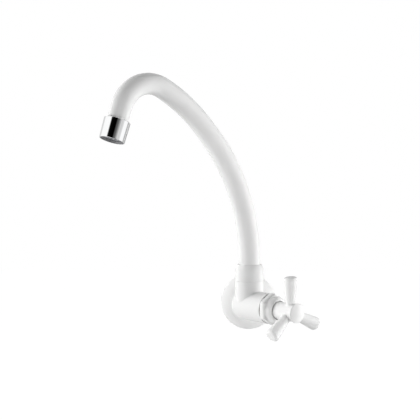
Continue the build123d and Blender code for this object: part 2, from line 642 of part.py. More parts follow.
def aerator_housing():
    """Chromed sleeve with a lip that holds the inserts."""
    end = HOUSING_LENGTH - HOUSING_OVERLAP
    lip = end - HOUSING_RIM
    return OUTLET * turned(
        (HOUSING_BORE, -HOUSING_OVERLAP), (HOUSING_TOP_RADIUS - HOUSING_EDGE, -HOUSING_OVERLAP),
        (HOUSING_TOP_RADIUS, -HOUSING_OVERLAP + HOUSING_EDGE), (HOUSING_END_RADIUS, end - HOUSING_EDGE),
        (HOUSING_END_RADIUS - HOUSING_EDGE, end), (HOUSING_RIM_RADIUS, end), (HOUSING_RIM_RADIUS, lip),
        (HOUSING_MOUTH, lip), (HOUSING_MOUTH, lip - HOUSING_LIP), (HOUSING_BORE, lip - HOUSING_LIP),
    )


def aerator_washer():
    """Rubber ring between the nipple and the screens."""
    return OUTLET * tube(
        OUTLET_WASHER_BORE, NIPPLE_RADIUS - LOOSE_FIT, NIPPLE_LENGTH, NIPPLE_LENGTH + OUTLET_WASHER
    )


def hole_grid(pitch, limit):
    """Points of a triangular grid inside a circle."""
    rise = pitch * sin(radians(60))
    rows = int(limit / rise) + 1
    cells = int(limit / pitch) + 1
    points = []
    for row in range(-rows, rows + 1):
        for cell in range(-cells, cells + 1):
            x = (cell + 0.5 * (row % 2)) * pitch
            y = row * rise
            if (x * x + y * y) ** 0.5 <= limit:
                points.append((x, y))
    return points


def pierced(radius, thickness, height, hole, pitch, border):
    """Round plate about Z with a triangular grid of holes."""
    plate = Circle(radius)
    plate -= [Pos(x, y) * Circle(hole) for x, y in hole_grid(pitch, radius - border - hole)]
    return Pos(0, 0, height) * extrude(plate, thickness)


def aerator_screens():
    """Two fine pierced discs above the core."""
    first = NIPPLE_LENGTH + OUTLET_WASHER + SCREEN_GAP
    return Compound(children=[
        OUTLET * pierced(
            NIPPLE_RADIUS - LOOSE_FIT, SCREEN_THICKNESS, first + i * (SCREEN_THICKNESS + SCREEN_GAP),
            SCREEN_HOLE, SCREEN_HOLE_PITCH, SCREEN_BORDER,
        )
        for i in range(2)
    ])


def aerator_core():
    """Flow straightener with a grid of ways that shows in the mouth."""
    return OUTLET * pierced(
        NIPPLE_RADIUS - FIXED_FIT, CORE_HEIGHT, CORE_BACK, CORE_HOLE, CORE_HOLE_PITCH, CORE_BORDER
    )


PIECES = (
    wall_flange, tap_body, valve_seat, seat_washer, washer_screw, jumper, spindle, spindle_seals,
    spindle_clip, spindle_nut, bonnet_gasket, bonnet, handle, handle_insert, handle_screw,
    handle_button, neck_ring, spout_bush, thrust_washer, spout_tail, spout_seals, spout_tube,
    outlet_nipple, aerator_washer, aerator_screens, aerator_core, aerator_housing,
)

os.makedirs("parts", exist_ok=True)
for piece in PIECES:
    export_step(piece(), f"parts/{piece.__name__}.step")
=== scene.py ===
"""White wall-mounted kitchen tap with a turning swan-neck spout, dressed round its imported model.

Sizes are in millimetres and become metres as a mesh is made. The wall is the plane y = 0, the
room lies towards -y, and the valve centre is 26 mm in front of the wall.
"""

import math

import bmesh
import bpy
import numpy as np
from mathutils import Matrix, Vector


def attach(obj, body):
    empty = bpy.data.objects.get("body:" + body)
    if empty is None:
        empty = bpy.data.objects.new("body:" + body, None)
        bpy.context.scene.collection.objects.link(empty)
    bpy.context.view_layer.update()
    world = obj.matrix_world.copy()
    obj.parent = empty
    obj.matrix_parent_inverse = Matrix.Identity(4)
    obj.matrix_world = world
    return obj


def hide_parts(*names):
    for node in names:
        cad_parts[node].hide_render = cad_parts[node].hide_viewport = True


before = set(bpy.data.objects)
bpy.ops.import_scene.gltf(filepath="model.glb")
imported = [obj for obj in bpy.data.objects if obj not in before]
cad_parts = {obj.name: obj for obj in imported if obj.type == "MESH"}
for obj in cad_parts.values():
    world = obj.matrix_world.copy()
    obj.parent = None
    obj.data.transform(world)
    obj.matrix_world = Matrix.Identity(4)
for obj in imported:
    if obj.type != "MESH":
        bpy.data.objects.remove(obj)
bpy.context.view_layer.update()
scene = bpy.context.scene
scene.view_settings.view_transform = "Standard"


# Camera. It stands about a metre from the tap, in line with the wall's normal, and looks
# down by three degrees, so the barrel and the handle are seen a little from above.
CAMERA_PLACE = (-0.0396, -0.9747, 0.1456)
CAMERA_PITCH = 3.0
CAMERA_LENS = 81.43

camera = bpy.data.objects.new("camera", bpy.data.cameras.new("camera"))
camera.data.lens = CAMERA_LENS
camera.data.sensor_width = 36.0
camera.data.clip_start, camera.data.clip_end = 0.05, 50.0
camera.location = CAMERA_PLACE
camera.rotation_euler = (math.radians(90.0 - CAMERA_PITCH), 0.0, 0.0)
scene.collection.objects.link(camera)
scene.camera = camera


# Soft boxes. Six square lamps of matt cloth stand round the tap: the strongest on the right and
# a little behind it, four on the left, above and in front, and a weak one below. Each has a
# bearing from the camera side, a height angle and watts.
SOFT_BOX_SIZE = 0.6
SOFT_BOX_DISTANCE = 1.1
SOFT_BOX_TARGET = (-0.035, -0.06, 0.1)
SOFT_BOXES = {
    "right_box": (108.0, 0.0, 7.4),
    "left_box": (258.0, 0.0, 4.6),
    "high_left_box": (240.0, 42.0, 5.5),
    "front_left_box": (308.0, -8.0, 5.6),
    "front_right_box": (60.0, 5.0, 5.4),
    "low_box": (0.0, -55.0, 1.6),
}

for name, (bearing, rise, watts) in SOFT_BOXES.items():
    bearing, rise = math.radians(bearing), math.radians(rise)
    lamp = bpy.data.lights.new(name, "AREA")
    lamp.shape, lamp.size, lamp.energy = "SQUARE", SOFT_BOX_SIZE, watts
    outward = Vector((
        math.sin(bearing) * math.cos(rise), -math.cos(bearing) * math.cos(rise), math.sin(rise),
    ))
    box = bpy.data.objects.new(name, lamp)
    box.location = Vector(SOFT_BOX_TARGET) + outward * SOFT_BOX_DISTANCE
    box.rotation_euler = outward.to_track_quat("Z", "Y").to_euler()
    box.visible_glossy = False
    scene.collection.objects.link(box)


# Studio. White all round, but for the dark end of the room behind the camera that fades to the
# right, a lamp's grey edge there and greyer walls behind the tap. Chrome shows it as stripes.
# Each zone runs between two bearings from the camera side, softened at its edges, to a level.
AMBIENT = 0.36
STUDIO_ZONES = (
    (-44.5, 13.0, 6.0, 0.003),
    (-20.0, 44.0, 24.0, 0.1),
    (52.0, 72.0, 5.0, 0.7),
    (112.0, 200.0, 6.0, 0.45),
    (-200.0, -120.0, 6.0, 0.7),
)


def wire(tree, source, target):
    """Joins an output socket to an input socket."""
    tree.links.new(source, target)


def math_node(tree, operation, first, second=None):
    """Math node on one or two values, each a number or a socket, and its result."""
    node = tree.nodes.new("ShaderNodeMath")
    node.operation = operation
    for socket, value in zip(node.inputs, (first, second)):
        if isinstance(value, bpy.types.NodeSocket):
            wire(tree, value, socket)
        elif value is not None:
            socket.default_value = value
    return node.outputs[0]


def ramp_node(tree, value, low, high):
    """Smooth step from 0 at low to 1 at high."""
    node = tree.nodes.new("ShaderNodeMapRange")
    node.interpolation_type = "SMOOTHSTEP"
    wire(tree, value, node.inputs["Value"])
    node.inputs["From Min"].default_value, node.inputs["From Max"].default_value = low, high
    return node.outputs["Result"]


world = bpy.data.worlds.new("studio")
scene.world = world
world.use_nodes = True
sky = world.node_tree
sky.nodes.clear()
direction = sky.nodes.new("ShaderNodeSeparateXYZ")
wire(sky, sky.nodes.new("ShaderNodeTexCoord").outputs["Generated"], direction.inputs[0])
bearing = math_node(
    sky, "ARCTAN2", direction.outputs["X"], math_node(sky, "MULTIPLY", direction.outputs["Y"], -1.0)
)
bearing = math_node(sky, "DEGREES", bearing)
lit = 1.0
for start, end, edge, level in STUDIO_ZONES:
    begun = ramp_node(sky, bearing, start - edge, start + edge)
    ended = ramp_node(sky, bearing, end - edge, end + edge)
    inside = math_node(sky, "MULTIPLY", begun, math_node(sky, "SUBTRACT", 1.0, ended))
    shade = math_node(sky, "SUBTRACT", 1.0, math_node(sky, "MULTIPLY", inside, 1.0 - level))
    lit = math_node(sky, "MULTIPLY", shade, lit)
rays = sky.nodes.new("ShaderNodeLightPath")
seen = math_node(sky, "MAXIMUM", rays.outputs["Is Glossy Ray"], rays.outputs["Is Transmission Ray"])
level = math_node(sky, "ADD", AMBIENT, math_node(sky, "MULTIPLY", seen, 1.0 - AMBIENT))
level = math_node(sky, "MAXIMUM", math_node(sky, "MULTIPLY", level, lit), rays.outputs["Is Camera Ray"])
background = sky.nodes.new("ShaderNodeBackground")
background.inputs["Color"].default_value = (1, 1, 1, 1)
wire(sky, level, background.inputs["Strength"])
wire(sky, background.outputs[0], sky.nodes.new("ShaderNodeOutputWorld").inputs["Surface"])


# Floor. Pale board well below the tap, white to the camera, with the tap's soft shadow on it.
FLOOR_HEIGHT = -0.32
FLOOR_SIZE = 6.0
FLOOR_GLOW = 0.9
FLOOR_GREY = 0.6

floor_mesh = bpy.data.meshes.new("floor")
half = FLOOR_SIZE / 2
floor_mesh.from_pydata(
    [(x, y, FLOOR_HEIGHT) for x, y in ((-half, -half), (half, -half), (half, half), (-half, half))],
    [], [(0, 1, 2, 3)],
)
floor = bpy.data.objects.new("floor", floor_mesh)
floor.visible_glossy = False
scene.collection.objects.link(floor)

board = bpy.data.materials.new("pale_board")
board.use_nodes = True
tree = board.node_tree
tree.nodes.clear()
paint = tree.nodes.new("ShaderNodeBsdfDiffuse")
paint.inputs["Color"].default_value = (FLOOR_GREY, FLOOR_GREY, FLOOR_GREY, 1)
glow = tree.nodes.new("ShaderNodeEmission")
glow.inputs["Strength"].default_value = 1.1
rays = tree.nodes.new("ShaderNodeLightPath")
blend = tree.nodes.new("ShaderNodeMixShader")
wire(tree, math_node(tree, "MULTIPLY", rays.outputs["Is Camera Ray"], FLOOR_GLOW), blend.inputs[0])
wire(tree, paint.outputs[0], blend.inputs[1])
wire(tree, glow.outputs[0], blend.inputs[2])
wire(tree, blend.outputs[0], tree.nodes.new("ShaderNodeOutputMaterial").inputs["Surface"])
floor_mesh.materials.append(board)


# Wall flange. Thin domed cover of glossy white plastic that slides over the shank's root and
# stands on the tiles. Moulded in one shot, with a short straight rim and a rolled edge.
MM = 0.001
FLANGE_RADIUS, FLANGE_DEPTH, FLANGE_WALL, FLANGE_RIM = 28.2, 8.2, 1.8, 2.0
BOSS_RADIUS = 13.0
FIT = 0.02
NOISE_DETAIL, PATCH_RANGE, PATCH_SHARE = 3.0, (0.3, 0.7), 0.6
RIPPLE_HEIGHT = 0.2 * MM


def uneven_finish():
    """Node group for a surface that is never quite even: colour, gloss and a shallow ripple.

    A large noise mixes two close colours, a finer one moves the roughness between two values,
    and both together lift the surface by a few hundredths of a millimetre at most.
    """
    group = bpy.data.node_groups.new("uneven_finish", "ShaderNodeTree")
    new_socket = group.interface.new_socket
    for title, kind, value in (
        ("Light colour", "NodeSocketColor", (0.9, 0.9, 0.9, 1)),
        ("Dark colour", "NodeSocketColor", (0.8, 0.8, 0.8, 1)),
        ("Patch scale", "NodeSocketFloat", 60.0),
        ("Grain scale", "NodeSocketFloat", 900.0),
        ("Roughness low", "NodeSocketFloat", 0.1),
        ("Roughness high", "NodeSocketFloat", 0.2),
        ("Ripple", "NodeSocketFloat", 0.1),
    ):
        new_socket(title, in_out="INPUT", socket_type=kind).default_value = value
    new_socket("Colour", in_out="OUTPUT", socket_type="NodeSocketColor")
    new_socket("Roughness", in_out="OUTPUT", socket_type="NodeSocketFloat")
    new_socket("Normal", in_out="OUTPUT", socket_type="NodeSocketVector")
    given, result = group.nodes.new("NodeGroupInput"), group.nodes.new("NodeGroupOutput")
    place = group.nodes.new("ShaderNodeTexCoord").outputs["Object"]
    noises = []
    for scale in ("Patch scale", "Grain scale"):
        noise = group.nodes.new("ShaderNodeTexNoise")
        noise.inputs["Detail"].default_value = NOISE_DETAIL
        wire(group, place, noise.inputs["Vector"])
        wire(group, given.outputs[scale], noise.inputs["Scale"])
        noises.append(noise.outputs[0])
    patch, grain = noises
    mix = group.nodes.new("ShaderNodeMix")
    mix.data_type = "RGBA"
    wire(group, ramp_node(group, patch, *PATCH_RANGE), mix.inputs[0])
    wire(group, given.outputs["Light colour"], mix.inputs[6])
    wire(group, given.outputs["Dark colour"], mix.inputs[7])
    low, high = given.outputs["Roughness low"], given.outputs["Roughness high"]
    spread = math_node(group, "SUBTRACT", high, low)
    patch_share = math_node(group, "MULTIPLY", patch, PATCH_SHARE)
    grain_share = math_node(group, "MULTIPLY", grain, 1.0 - PATCH_SHARE)
    both = math_node(group, "ADD", patch_share, grain_share)
    rough = math_node(group, "ADD", low, math_node(group, "MULTIPLY", spread, both))
    bump = group.nodes.new("ShaderNodeBump")
    bump.inputs["Distance"].default_value = RIPPLE_HEIGHT
    wire(group, given.outputs["Ripple"], bump.inputs["Strength"])
    wire(group, both, bump.inputs["Height"])
    wire(group, mix.outputs[2], result.inputs["Colour"])
    wire(group, rough, result.inputs["Roughness"])
    wire(group, bump.outputs[0], result.inputs["Normal"])
    return group


UNEVEN = uneven_finish()


def finish_material(name, light, dark, roughness, scales, ripple, metallic=0.0):
    """Material whose colour, roughness and normal come from the uneven finish."""
    material = bpy.data.materials.new(name)
    material.use_nodes = True
    material.diffuse_color = (*light, 1)
    tree = material.node_tree
    shader = tree.nodes["Principled BSDF"]
    group = tree.nodes.new("ShaderNodeGroup")
    group.node_tree = UNEVEN
    group.inputs["Light colour"].default_value = (*light, 1)
    group.inputs["Dark colour"].default_value = (*dark, 1)
    group.inputs["Roughness low"].default_value, group.inputs["Roughness high"].default_value = roughness
    group.inputs["Patch scale"].default_value, group.inputs["Grain scale"].default_value = scales
    group.inputs["Ripple"].default_value = ripple
    wire(tree, group.outputs["Colour"], shader.inputs["Base Color"])
    wire(tree, group.outputs["Roughness"], shader.inputs["Roughness"])
    wire(tree, group.outputs["Normal"], shader.inputs["Normal"])
    shader.inputs["Metallic"].default_value = metallic
    return material


WHITE_PLASTIC = finish_material(
    "glossy_white_plastic", (0.88, 0.88, 0.875), (0.865, 0.866, 0.862), (0.10, 0.20), (45.0, 700.0), 0.05,
)
# The same white plastic painted lighter: painted light that brightens the flange, bonnet, handle and cap
# beyond what the lamps give them.
WHITE_PLASTIC_PAINTED_LIGHTER = finish_material(
    "white_plastic_painted_lighter", (0.94, 0.94, 0.935), (0.925, 0.926, 0.922), (0.10, 0.20), (45.0, 700.0), 0.05,
)


def outline(*corners, closed=True, rows=7):
    """Outline through corners (radius, along, rounding), as rows of (radius, along).

    A corner becomes an arc that touches both of its sides: its centre lies on the corner's
    bisector, rounding / sin(half angle) away, and its points turn evenly from one touching
    point to the other. A row a little outside each arc keeps the flats flat. An open outline
    keeps its first and last corner as they are.
    """
    spare = 0.25
    table = np.array(corners, float)
    here, rounding = table[:, :2], table[:, 2]
    back, ahead = np.roll(here, 1, 0) - here, np.roll(here, -1, 0) - here
    back_run, ahead_run = np.linalg.norm(back, axis=1), np.linalg.norm(ahead, axis=1)
    back, ahead = back / back_run[:, None], ahead / ahead_run[:, None]
    half = np.arccos(np.clip((back * ahead).sum(1), -1, 1)) / 2
    reach = rounding / np.tan(half)
    bisector = back + ahead
    bisector /= np.maximum(np.linalg.norm(bisector, axis=1), 1e-9)[:, None]
    centre = here + bisector * (rounding / np.sin(half))[:, None]
    start, end = here + back * reach[:, None] - centre, here + ahead * reach[:, None] - centre
    swing = np.pi - 2 * half
    share = np.linspace(0, 1, rows)[None, :, None]
    angle = np.maximum(swing, 1e-6)[:, None, None]
    arc = centre[:, None] + (
        start[:, None] * np.sin((1 - share) * angle) + end[:, None] * np.sin(share * angle)
    ) / np.sin(angle)
    back_spare = np.minimum(spare, (back_run - reach - np.roll(reach, 1)) / 3)
    ahead_spare = np.minimum(spare, (ahead_run - reach - np.roll(reach, -1)) / 3)
    before = here + back * (reach + back_spare)[:, None]
    after = here + ahead * (reach + ahead_spare)[:, None]
    line = np.concatenate([before[:, None], arc, after[:, None]], 1)
    if closed:
        return line.reshape(-1, 2)
    return np.concatenate([here[:1], line[1:-1].reshape(-1, 2), here[-1:]])


def arc_line(start, middle, end, rows):
    """Points from start to end on the circle through three points of (radius, along)."""
    a, b, c = (np.array(p, float) for p in (start, middle, end))
    cross = 2 * ((b[0] - a[0]) * (c[1] - a[1]) - (b[1] - a[1]) * (c[0] - a[0]))
    ab, ac = (b @ b - a @ a), (c @ c - a @ a)
    centre = np.array([
        (ab * (c[1] - a[1]) - ac * (b[1] - a[1])) / cross,
        (ac * (b[0] - a[0]) - ab * (c[0] - a[0])) / cross,
    ])
    first, last = (math.atan2(*(p - centre)[::-1]) for p in (a, c))
    last = first + (last - first + math.pi) % (2 * math.pi) - math.pi
    turn = np.linspace(first, last, rows)
    return centre + np.linalg.norm(a - centre) * np.stack([np.cos(turn), np.sin(turn)], 1)


def place_of(origin, axis, side):
    """Place with an axis and a side direction: its origin and its rows side, up, axis."""
    axis, side = np.array(axis, float), np.array(side, float)
    return np.array(origin, float), np.stack([side, np.cross(axis, side), axis])


def put(points, place):
    """Local points (side, up, along) as points of the tap, in millimetres."""
    origin, rows = place
    return origin + points @ rows


def turned(line, place, columns=144):
    """Outline (radius, along) carried round a place's axis, as a grid of points."""
    turn = np.linspace(0, 2 * np.pi, columns, endpoint=False)
    radius, along = line[:, :1], line[:, 1:]
    local = np.stack([radius * np.cos(turn), radius * np.sin(turn), along + 0 * turn], -1)
    return put(local, place)


def skin(points, loop=True):
    """Vertices and quads of a grid that closes along its columns, and along its rows with loop."""
    rows, columns = points.shape[:2]
    index = np.arange(rows * columns).reshape(rows, columns)
    index = np.concatenate([index, index[:, :1]], 1)
    if loop:
        index = np.concatenate([index, index[:1]], 0)
    quads = np.stack([index[:-1, :-1], index[:-1, 1:], index[1:, 1:], index[1:, :-1]], -1)
    return points.reshape(-1, 3), quads.reshape(-1, 4)


def make_piece(name, material, *shells):
    """Object at the origin from closed shells, with doubles merged and faces pointing outwards."""
    starts = np.cumsum([0] + [len(vertices) for vertices, _ in shells[:-1]])
    vertices = np.concatenate([vertices for vertices, _ in shells]) * MM
    quads = np.concatenate([quads + start for (_, quads), start in zip(shells, starts)])
    mesh = bpy.data.meshes.new(name)
    mesh.from_pydata(vertices.tolist(), [], quads.tolist())
    form = bmesh.new()
    form.from_mesh(mesh)
    bmesh.ops.remove_doubles(form, verts=form.verts, dist=2e-6)
    bmesh.ops.dissolve_degenerate(form, edges=form.edges, dist=1e-7)
    bmesh.ops.recalc_face_normals(form, faces=form.faces)
    form.to_mesh(mesh)
    form.free()
    mesh.shade_smooth()
    mesh.materials.append(material)
    piece = bpy.data.objects.new(name, mesh)
    scene.collection.objects.link(piece)
    return piece


WALL = place_of((0, 0, 0), (0, -1, 0), (1, 0, 0))


def dome_line(rim, crown, rows):
    """Arc from a rim point to a crown point (radius, along), flat where it reaches the crown."""
    run, drop = rim[0] - crown[0], crown[1] - rim[1]
    radius = (run * run + drop * drop) / (2 * drop)
    half = math.asin(run / radius) / 2
    middle = (crown[0] + radius * math.sin(half), crown[1] - radius * (1 - math.cos(half)))
    return arc_line(rim, middle, crown, rows)


hole = BOSS_RADIUS + FIT
inner_radius, inner_depth = FLANGE_RADIUS - FLANGE_WALL, FLANGE_DEPTH - FLANGE_WALL
edge = outline(
    (inner_radius, FLANGE_RIM, 0.1), (inner_radius, 0, 0.35),
    (FLANGE_RADIUS, 0, 0.35), (FLANGE_RADIUS, FLANGE_RIM, 0.1), closed=False,
)
outer_dome = dome_line((FLANGE_RADIUS, FLANGE_RIM), (hole, FLANGE_DEPTH), 28)
inner_dome = dome_line((inner_radius, FLANGE_RIM), (hole, inner_depth), 28)
lip = outline(
    tuple(outer_dome[-2]) + (0,), (hole, FLANGE_DEPTH, 0.3), (hole, inner_depth, 0.2),
    tuple(inner_dome[-2]) + (0,), closed=False,
)
# The flange's white plastic is painted lighter than the body's: painted light.
flange = make_piece(
    "flange_dome", WHITE_PLASTIC_PAINTED_LIGHTER,
    skin(turned(np.concatenate([edge, outer_dome[1:-2], lip, inner_dome[-3:0:-1]]), WALL, 192)),
)
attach(flange, "tap")
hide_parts("wall_flange")


# Tap body. One moulding of the white plastic, with no painted light on it: the barrel with its
# rounded closed end, the neck that rises from it, and the shank whose half-inch pipe thread
# screws in the wall. The flange, bonnet and handle share its plastic but are painted lighter.
STANDOFF = 26.0
BARREL_ANGLE = math.radians(40.0)
BARREL_RADIUS, BARREL_CORNER, BARREL_BACK, BARREL_FRONT = 14.9, 7.0, 14.5, 29.7
MOUTH_RADIUS, MOUTH_DEPTH, CHAMBER_RADIUS, SEAT_FACE = 11.5, 16.7, 10.6, 3.0
REBATE_RADIUS, REBATE_DEPTH = 13.65, 0.7
NECK_RADIUS, NECK_SHOULDER, NECK_THREAD_RADIUS, NECK_TOP = 14.3, 25.0, 13.4, 33.0
NECK_BORE, NECK_FLOOR, NECK_SIDE_BACK = 12.0, 16.0, 16.4
NECK_FILLET, NECK_SEAM, SEAM_THINNING = 0.9, 0.25, 0.15
FOOT_SINK, FOOT_SHRINK, FOOT_MIDDLE = 1.2, 0.97, 13.0
BOSS_BACK, BOSS_FRONT = 3.0, 18.0
THREAD_OUTER, THREAD_ROOT, THREAD_PITCH, SHANK_END = 10.4775, 9.35, 1.814, -18.0
THREAD_STEEPNESS, THREAD_LAND = 1.25, 0.12
FADE_IN_AT, FADE_IN, FADE_OUT_AT, FADE_OUT = 0.2, 1.6, 1.2, 1.4
INLET_RADIUS, INLET_DEPTH = 6.5, 26.0

VALVE = place_of(
    (0, -STANDOFF, 0), (math.sin(BARREL_ANGLE), -math.cos(BARREL_ANGLE), 0),
    (math.cos(BARREL_ANGLE), math.sin(BARREL_ANGLE), 0),
)
NECK = place_of((0, -STANDOFF, 0), (0, 0, 1), (math.sin(BARREL_ANGLE), -math.cos(BARREL_ANGLE), 0))

barrel = turned(outline(
    (0, -BARREL_BACK, 0), (BARREL_RADIUS, -BARREL_BACK, BARREL_CORNER), (BARREL_RADIUS, BARREL_FRONT, 0.25),
    (REBATE_RADIUS, BARREL_FRONT, 0.1), (REBATE_RADIUS, BARREL_FRONT - REBATE_DEPTH, 0.1),
    (MOUTH_RADIUS, BARREL_FRONT - REBATE_DEPTH, 0.1), (MOUTH_RADIUS, BARREL_FRONT - MOUTH_DEPTH, 0.2),
    (CHAMBER_RADIUS, BARREL_FRONT - MOUTH_DEPTH, 0.1), (CHAMBER_RADIUS, -SEAT_FACE, 0.3),
    (0, -SEAT_FACE, 0), closed=False, rows=15,
), VALVE, 192)


def neck_grid(columns=240, foot_rows=12):
    """Neck with a foot that runs out on the barrel.

    At a point a along the barrel and w across it, the barrel's skin is at height
    sqrt(R(a)^2 - w^2), with R(a) shrinking on its rounded end. The foot starts on that skin,
    a fillet's width outside the neck, and turns up a quarter ellipse into the neck's side.
    The fillet is widest towards the barrel's mouth, a seam's width at the sides and thinner
    at the rear. Above the foot the outline goes up to the shoulder, over the thread and down
    the bore. Inside the barrel the grid closes in a ring under the foot and a middle point.
    """
    turn = np.linspace(0, 2 * np.pi, columns, endpoint=False)[None, :]
    front, rear = np.clip(np.cos(turn), 0, 1), np.clip(-np.cos(turn), 0, 1)
    fillet = NECK_SEAM + (NECK_FILLET - NECK_SEAM) * front ** 1.5 - SEAM_THINNING * rear
    step = np.linspace(0, np.pi / 2, foot_rows)[:, None]
    radius = NECK_RADIUS + fillet * (1 - np.sin(step))
    along, across = radius * np.cos(turn), radius * np.sin(turn)
    corner = np.clip(-along - (BARREL_BACK - BARREL_CORNER), 0, BARREL_CORNER)
    round_end = BARREL_RADIUS - BARREL_CORNER + np.sqrt(BARREL_CORNER ** 2 - corner ** 2)
    height = np.sqrt(np.clip(round_end ** 2 - across ** 2, 0.5, None)) + fillet * (1 - np.cos(step))
    foot = np.stack([along, across, height], -1)
    upper = outline(
        (NECK_RADIUS, NECK_SIDE_BACK, 0), (NECK_RADIUS, NECK_SHOULDER, 0.12),
        (NECK_THREAD_RADIUS, NECK_SHOULDER, 0.1), (NECK_THREAD_RADIUS, NECK_TOP, 0.3),
        (NECK_BORE, NECK_TOP, 0.2), (NECK_BORE, NECK_FLOOR, 0), (0, NECK_FLOOR, 0),
        closed=False, rows=5,
    )
    shaft = np.stack([
        upper[:, :1] * np.cos(turn), upper[:, :1] * np.sin(turn), upper[:, 1:] + 0 * turn
    ], -1)
    floor_ring = (foot[0] * (FOOT_SHRINK, FOOT_SHRINK, 1) - (0, 0, FOOT_SINK))[None]
    middle = np.zeros_like(floor_ring) + (0, 0, FOOT_MIDDLE)
    return put(np.concatenate([middle, floor_ring, foot, shaft]), NECK)


def thread_grid(columns=96, rows_per_turn=10):
    """Shank with a pipe thread.

    The radius is root + ridge, where the ridge is a rounded 55 degree profile of the phase
    along / pitch - turn, and fades out at the shank's end and before the boss.
    """
    turn = np.linspace(0, 2 * np.pi, columns, endpoint=False)[None, :]
    length = BOSS_BACK - SHANK_END
    along = np.linspace(SHANK_END + 0.3, BOSS_BACK - 0.2, int(length / THREAD_PITCH * rows_per_turn))[:, None]
    phase = (along / THREAD_PITCH - turn / (2 * np.pi)) % 1.0
    ridge = np.clip(THREAD_STEEPNESS * (1 - np.abs(2 * phase - 1)) - THREAD_LAND, 0, 1)
    ridge = ridge * ridge * (3 - 2 * ridge)
    begun = np.clip((along - SHANK_END - FADE_IN_AT) / FADE_IN, 0, 1)
    left = np.clip((BOSS_BACK - FADE_OUT_AT - along) / FADE_OUT, 0, 1)
    radius = THREAD_ROOT + (THREAD_OUTER - THREAD_ROOT) * ridge * (begun * left)
    thread = np.stack([radius * np.cos(turn), radius * np.sin(turn), along + 0 * turn], -1)
    inside = outline(
        (THREAD_ROOT, BOSS_BACK, 0), (BOSS_RADIUS, BOSS_BACK, 0.4), (BOSS_RADIUS, BOSS_FRONT, 0),
        (0, BOSS_FRONT, 0), closed=False,
    )
    bore = outline(
        (0, SHANK_END + INLET_DEPTH, 0), (INLET_RADIUS, SHANK_END + INLET_DEPTH, 0.3),
        (INLET_RADIUS, SHANK_END, 0.3), (THREAD_ROOT, SHANK_END, 0.5), (THREAD_ROOT, SHANK_END + 0.9, 0),
        closed=False,
    )[:-1]
    return np.concatenate([turned(bore, WALL, columns), put(thread, WALL), turned(inside, WALL, columns)])


body = make_piece(
    "body_moulding", WHITE_PLASTIC,
    skin(barrel, loop=False), skin(neck_grid(), loop=False), skin(thread_grid(), loop=False),
)
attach(body, "tap")
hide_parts("tap_body")


# Neck ring. Conical ring, screwed on the neck, that holds the spout's foot down while it can
# still turn. White plastic, with a softly rounded cone and a small land round the tube.
RING_RADIUS, RING_SHOULDER, RING_TOP, RING_TOP_RADIUS = 14.5, 35.0, 41.5, 11.9
RING_BORE, RING_BACK, RING_THREAD = 11.05, 25.2, 13.45
CONE_BULGE = 0.65

cone_middle = CONE_BULGE * RING_RADIUS + (1 - CONE_BULGE) * RING_TOP_RADIUS
cone = arc_line(
    (RING_RADIUS, RING_SHOULDER), (cone_middle, (RING_SHOULDER + RING_TOP) / 2),
    (RING_TOP_RADIUS, RING_TOP), 24,
)
foot = outline(
    (RING_BORE, RING_SHOULDER, 0), (RING_THREAD, RING_SHOULDER - 1.0, 0.1), (RING_THREAD, RING_BACK, 0.1),
    (RING_RADIUS, RING_BACK, 0.12), (RING_RADIUS, RING_SHOULDER, 0), closed=False,
)
land = outline(
    tuple(cone[-2]) + (0,), (RING_TOP_RADIUS, RING_TOP, 0.25), (RING_BORE, RING_TOP, 0.15),
    (RING_BORE, RING_SHOULDER, 0), closed=False,
)
ring = make_piece(
    "spout_ring", WHITE_PLASTIC, skin(turned(np.concatenate([foot, cone[1:-2], land[:-1]]), NECK, 192)),
)
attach(ring, "tap")
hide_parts("neck_ring")


# Spout tube. Swan neck of white plastic tube, bent in one plane and narrowing towards the
# outlet. The bends run into each other without a step, because the tube is drawn while warm.
SPOUT_ANGLE = math.radians(-140.0)
TUBE_FOOT = 30.05
TUBE_WALL = 2.0
TUBE_RUNS = (
    (12.0, 0.0), (180.0, 42.3), (10.7, 0.0), (176.6, 20.0), (6.0, 0.0), (33.4, 98.9), (14.2, 0.0),
)
TUBE_TAPER_AT = (0.0, 7.0, 13.0, 138.0, 160.0, 212.0, 228.0, 278.0, 296.0)
TUBE_TAPER = (10.9, 10.9, 10.62, 10.55, 10.14, 10.06, 9.82, 9.78, 9.5)
BEND_SOFTNESS = 3.0
LINE_POINTS = 6001


def tube_line(rows=260):
    """Centre line, heading and radius of the tube, as arrays over its length.

    The curvature is 1 / bend radius in each bend and 0 in each straight run, softened over a
    few millimetres. The heading is its running sum, and the line is the running sum of
    (sin, cos) of the heading. What the softening moves the end by is taken back evenly.
    """
    lengths = np.array([math.radians(angle) * size if angle else size for size, angle in TUBE_RUNS])
    bends = np.array([1 / size if angle else 0.0 for size, angle in TUBE_RUNS])
    ends = np.cumsum(lengths)
    fine = np.linspace(0, ends[-1], LINE_POINTS)
    step = fine[1]
    curve = bends[np.minimum(np.searchsorted(ends, fine, side="right"), len(bends) - 1)]
    reach_steps = int(3 * BEND_SOFTNESS / step)
    reach = np.arange(-reach_steps, reach_steps + 1) * step
    weight = np.exp(-0.5 * (reach / BEND_SOFTNESS) ** 2)
    weight /= weight.sum()
    soft = np.convolve(np.pad(curve, len(reach) // 2), weight, "valid")
    lines = []
    for bend in (curve, soft):
        heading = np.concatenate([[0], np.cumsum((bend[1:] + bend[:-1]) / 2 * step)])
        out, up = np.sin(heading), np.cos(heading)
        lines.append(np.stack([
            np.concatenate([[0], np.cumsum((out[1:] + out[:-1]) / 2 * step)]),
            np.concatenate([[0], np.cumsum((up[1:] + up[:-1]) / 2 * step)]),
            heading,
        ], 1))
    hard, soft = lines
    soft = soft + (hard[-1] - soft[-1]) * (fine / fine[-1])[:, None]
    radius = np.interp(fine, TUBE_TAPER_AT, TUBE_TAPER)
    radius = np.convolve(np.pad(radius, len(reach) // 2, mode="edge"), weight, "valid")
    at = np.linspace(0, fine[-1], rows)
    return [np.interp(at, fine, column) for column in (*soft.T, radius)]


